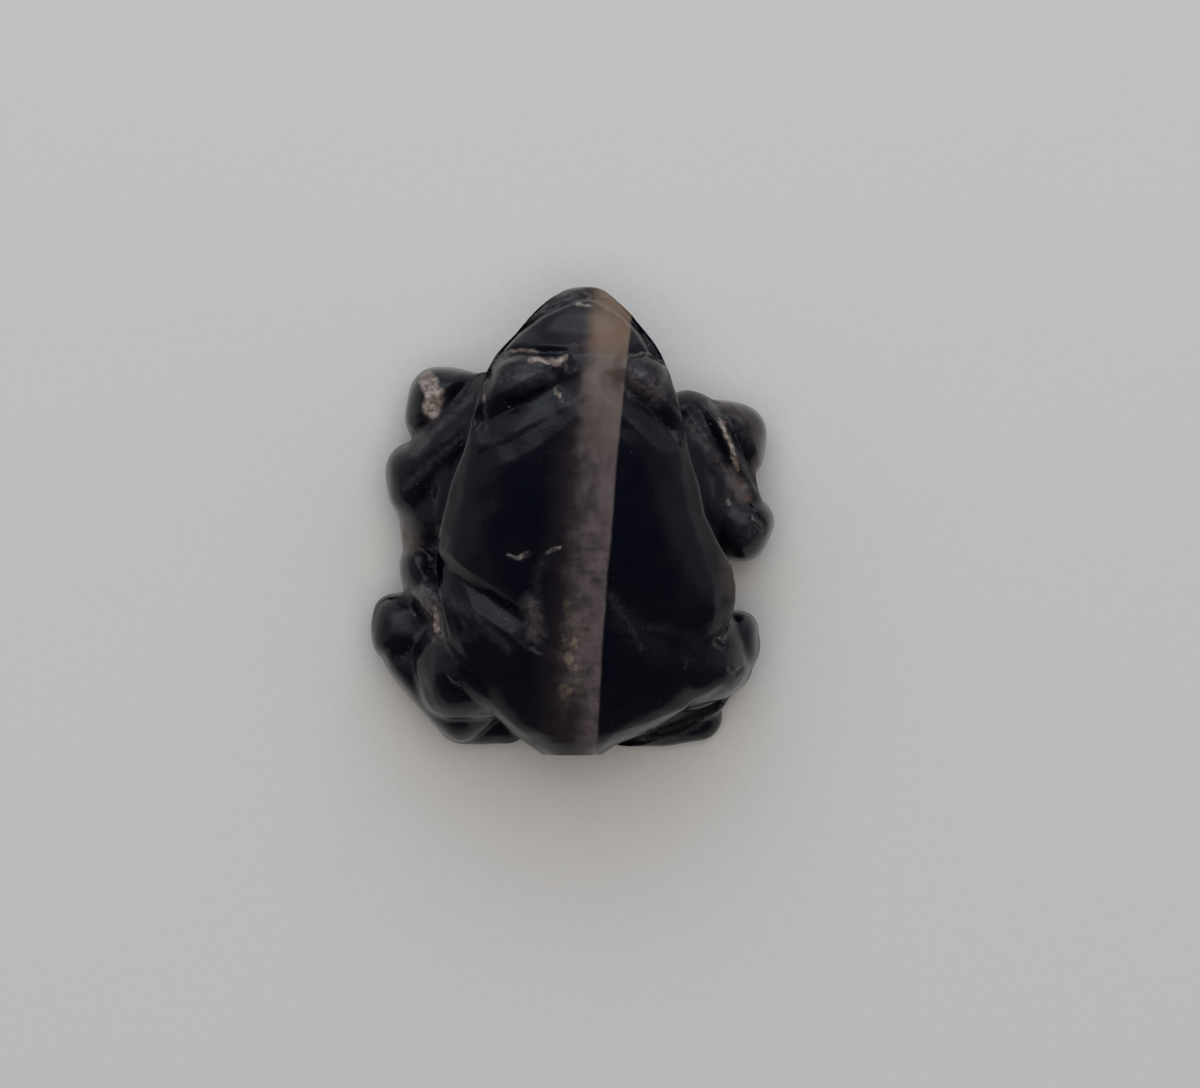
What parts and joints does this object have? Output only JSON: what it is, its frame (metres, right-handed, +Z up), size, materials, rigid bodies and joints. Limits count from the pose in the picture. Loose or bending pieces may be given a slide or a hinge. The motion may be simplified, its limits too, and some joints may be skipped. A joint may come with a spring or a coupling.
{
  "type": "carved frog bead",
  "caption": "Small hardstone bead carved as a crouching frog, flat underneath, with a pale band along its back and a stringing hole from chin to tail.",
  "frame": {"origin": "centre of the bead's box in plan, on its flat underside", "axes": "+Y from tail to head, +Z up out of the back, +X to the right as seen from above"},
  "size_m": [0.0174, 0.02, 0.0089],
  "materials": {
    "banded_agate": "polished, worn"
  },
  "bodies": {
    "root": {"frog_bead": "banded_agate"}
  },
  "joints": []
}
